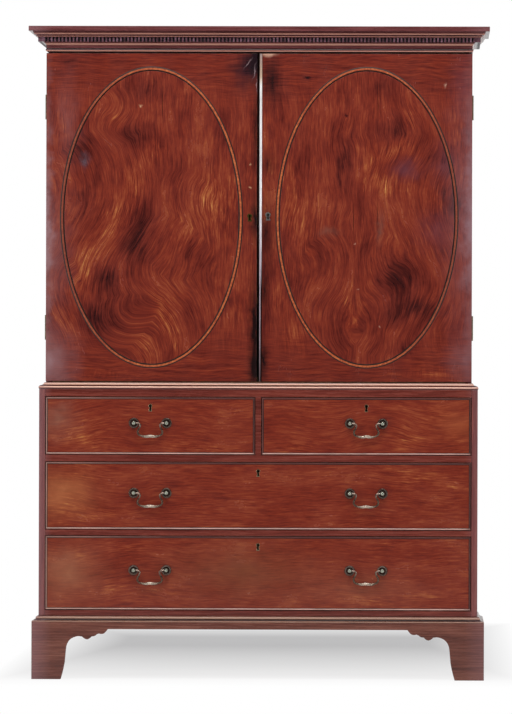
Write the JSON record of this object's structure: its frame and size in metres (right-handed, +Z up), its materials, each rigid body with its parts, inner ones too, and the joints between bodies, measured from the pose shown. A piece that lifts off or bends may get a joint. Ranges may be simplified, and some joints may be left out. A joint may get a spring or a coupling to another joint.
{
  "type": "linen press",
  "caption": "Mahogany linen press: a cupboard of sliding trays behind oval-inlaid doors, over drawers with cockbeads and bail handles, on bracket feet.",
  "frame": {"origin": "on the floor, under the middle of the bounding box", "axes": "+Z up, +Y towards the back, +X to the right seen from the front"},
  "size_m": [1.34, 0.5712, 1.899],
  "materials": {
    "figured_mahogany": "old polished shellac over crotch-figured veneer",
    "mahogany": "old polished shellac over solid mahogany",
    "satinwood_inlay": "polished light banding between dark strings",
    "oak": "unfinished oak, aged",
    "pine": "unfinished pine, aged",
    "brass": "tarnished cast brass, rubbed bright on the high parts",
    "worn_brass": "worn brass strip, dull and stained"
  },
  "bodies": {
    "root": {"plinth_front": "mahogany", "plinth_side_left": "mahogany", "plinth_side_right": "mahogany", "plinth_frame": "mahogany", "base_side_left": "mahogany", "base_side_right": "mahogany", "base_bottom": "mahogany", "lower_dustboard": "mahogany", "upper_dustboard": "mahogany", "base_top": "mahogany", "press_side_left": "mahogany", "press_side_right": "mahogany", "cornice": "mahogany", "dentil_course": "mahogany", "base_back": "pine", "press_back": "pine", "press_bottom": "pine", "press_top": "pine", "hinge_left_lower_case_leaf": "brass", "hinge_left_upper_case_leaf": "brass", "hinge_right_lower_case_leaf": "brass", "hinge_right_upper_case_leaf": "brass"},
    "left_door": {"door_left": "figured_mahogany", "oval_inlay_left": "satinwood_inlay", "hinge_left_lower_door_leaf": "brass", "hinge_left_upper_door_leaf": "brass"},
    "right_door": {"door_right": "figured_mahogany", "oval_inlay_right": "satinwood_inlay", "hinge_right_lower_door_leaf": "brass", "hinge_right_upper_door_leaf": "brass", "meeting_bead": "worn_brass"},
    "lower_tray": {"tray_lower": "oak"},
    "middle_tray": {"tray_middle": "oak"},
    "upper_tray": {"tray_upper": "oak"},
    "short_left_drawer": {"drawer_front_short_left": "figured_mahogany", "drawer_box_short_left": "oak", "post_short_left_a": "brass", "post_short_left_b": "brass"},
    "short_right_drawer": {"drawer_front_short_right": "figured_mahogany", "drawer_box_short_right": "oak", "post_short_right_a": "brass", "post_short_right_b": "brass"},
    "middle_drawer": {"drawer_front_middle": "figured_mahogany", "drawer_box_middle": "oak", "post_middle_left_a": "brass", "post_middle_left_b": "brass", "post_middle_right_a": "brass", "post_middle_right_b": "brass"},
    "bottom_drawer": {"drawer_front_bottom": "figured_mahogany", "drawer_box_bottom": "oak", "post_bottom_left_a": "brass", "post_bottom_left_b": "brass", "post_bottom_right_a": "brass", "post_bottom_right_b": "brass"},
    "short_left_bail": {"bail_short_left": "brass"},
    "short_right_bail": {"bail_short_right": "brass"},
    "middle_left_bail": {"bail_middle_left": "brass"},
    "middle_right_bail": {"bail_middle_right": "brass"},
    "bottom_left_bail": {"bail_bottom_left": "brass"},
    "bottom_right_bail": {"bail_bottom_right": "brass"}
  },
  "joints": [
    {"name": "left_door_hinge", "type": "hinge", "parent": "root", "child": "left_door", "pos_m": [-0.6203, -0.213, 1.344], "axis": [0, 0, -1], "range_deg": [0, 170]},
    {"name": "right_door_hinge", "type": "hinge", "parent": "root", "child": "right_door", "pos_m": [0.6203, -0.213, 1.344], "axis": [0, 0, 1], "range_deg": [0, 170]},
    {"name": "lower_tray_slide", "type": "slide", "parent": "root", "child": "lower_tray", "axis": [0, -1, 0], "range_m": [0, 0.012]},
    {"name": "middle_tray_slide", "type": "slide", "parent": "root", "child": "middle_tray", "axis": [0, -1, 0], "range_m": [0, 0.012]},
    {"name": "upper_tray_slide", "type": "slide", "parent": "root", "child": "upper_tray", "axis": [0, -1, 0], "range_m": [0, 0.012]},
    {"name": "short_left_drawer_slide", "type": "slide", "parent": "root", "child": "short_left_drawer", "axis": [0, -1, 0], "range_m": [0, 0.4]},
    {"name": "short_right_drawer_slide", "type": "slide", "parent": "root", "child": "short_right_drawer", "axis": [0, -1, 0], "range_m": [0, 0.4]},
    {"name": "middle_drawer_slide", "type": "slide", "parent": "root", "child": "middle_drawer", "axis": [0, -1, 0], "range_m": [0, 0.4]},
    {"name": "bottom_drawer_slide", "type": "slide", "parent": "root", "child": "bottom_drawer", "axis": [0, -1, 0], "range_m": [0, 0.4]},
    {"name": "short_left_bail_hinge", "type": "hinge", "parent": "short_left_drawer", "child": "short_left_bail", "pos_m": [-0.31425, -0.2701, 0.7455], "axis": [-1, 0, 0], "range_deg": [-15, 165]},
    {"name": "short_right_bail_hinge", "type": "hinge", "parent": "short_right_drawer", "child": "short_right_bail", "pos_m": [0.31425, -0.2701, 0.7455], "axis": [-1, 0, 0], "range_deg": [-15, 165]},
    {"name": "middle_left_bail_hinge", "type": "hinge", "parent": "middle_drawer", "child": "middle_left_bail", "pos_m": [-0.31425, -0.2701, 0.542], "axis": [-1, 0, 0], "range_deg": [-15, 165]},
    {"name": "middle_right_bail_hinge", "type": "hinge", "parent": "middle_drawer", "child": "middle_right_bail", "pos_m": [0.31425, -0.2701, 0.542], "axis": [-1, 0, 0], "range_deg": [-15, 165]},
    {"name": "bottom_left_bail_hinge", "type": "hinge", "parent": "bottom_drawer", "child": "bottom_left_bail", "pos_m": [-0.31425, -0.2701, 0.3175], "axis": [-1, 0, 0], "range_deg": [-15, 165]},
    {"name": "bottom_right_bail_hinge", "type": "hinge", "parent": "bottom_drawer", "child": "bottom_right_bail", "pos_m": [0.31425, -0.2701, 0.3175], "axis": [-1, 0, 0], "range_deg": [-15, 165]}
  ]
}
